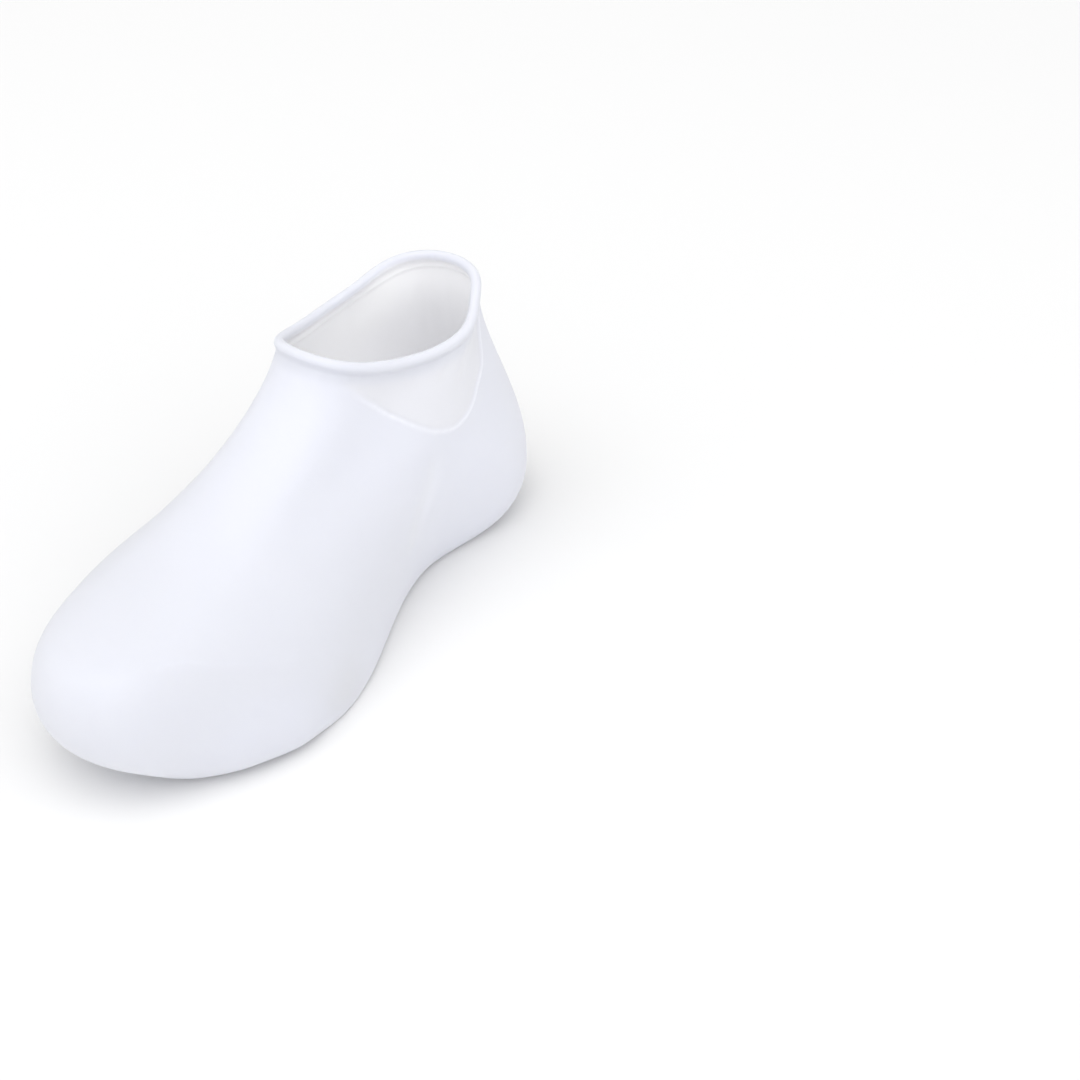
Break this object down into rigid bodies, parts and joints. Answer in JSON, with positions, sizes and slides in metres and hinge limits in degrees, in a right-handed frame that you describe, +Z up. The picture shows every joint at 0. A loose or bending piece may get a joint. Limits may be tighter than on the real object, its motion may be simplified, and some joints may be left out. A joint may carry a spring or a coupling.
{
  "type": "overshoe",
  "caption": "Soft one-piece silicone shoe cover for a right foot: bulbous toe box, smooth instep, rolled-rim ankle collar and a flat sole, open at the top for a shoe.",
  "frame": {"origin": "on the floor, under the middle of the overall box", "axes": "+Z up, the toe points to -Y and the heel to +Y, the inner (arch) side of the foot is +X"},
  "size_m": [0.1106, 0.2796, 0.1286],
  "materials": {
    "silicone_skin": "satin white silicone with a faint cold cast"
  },
  "bodies": {
    "root": {"overshoe_body": "silicone_skin"}
  },
  "joints": []
}
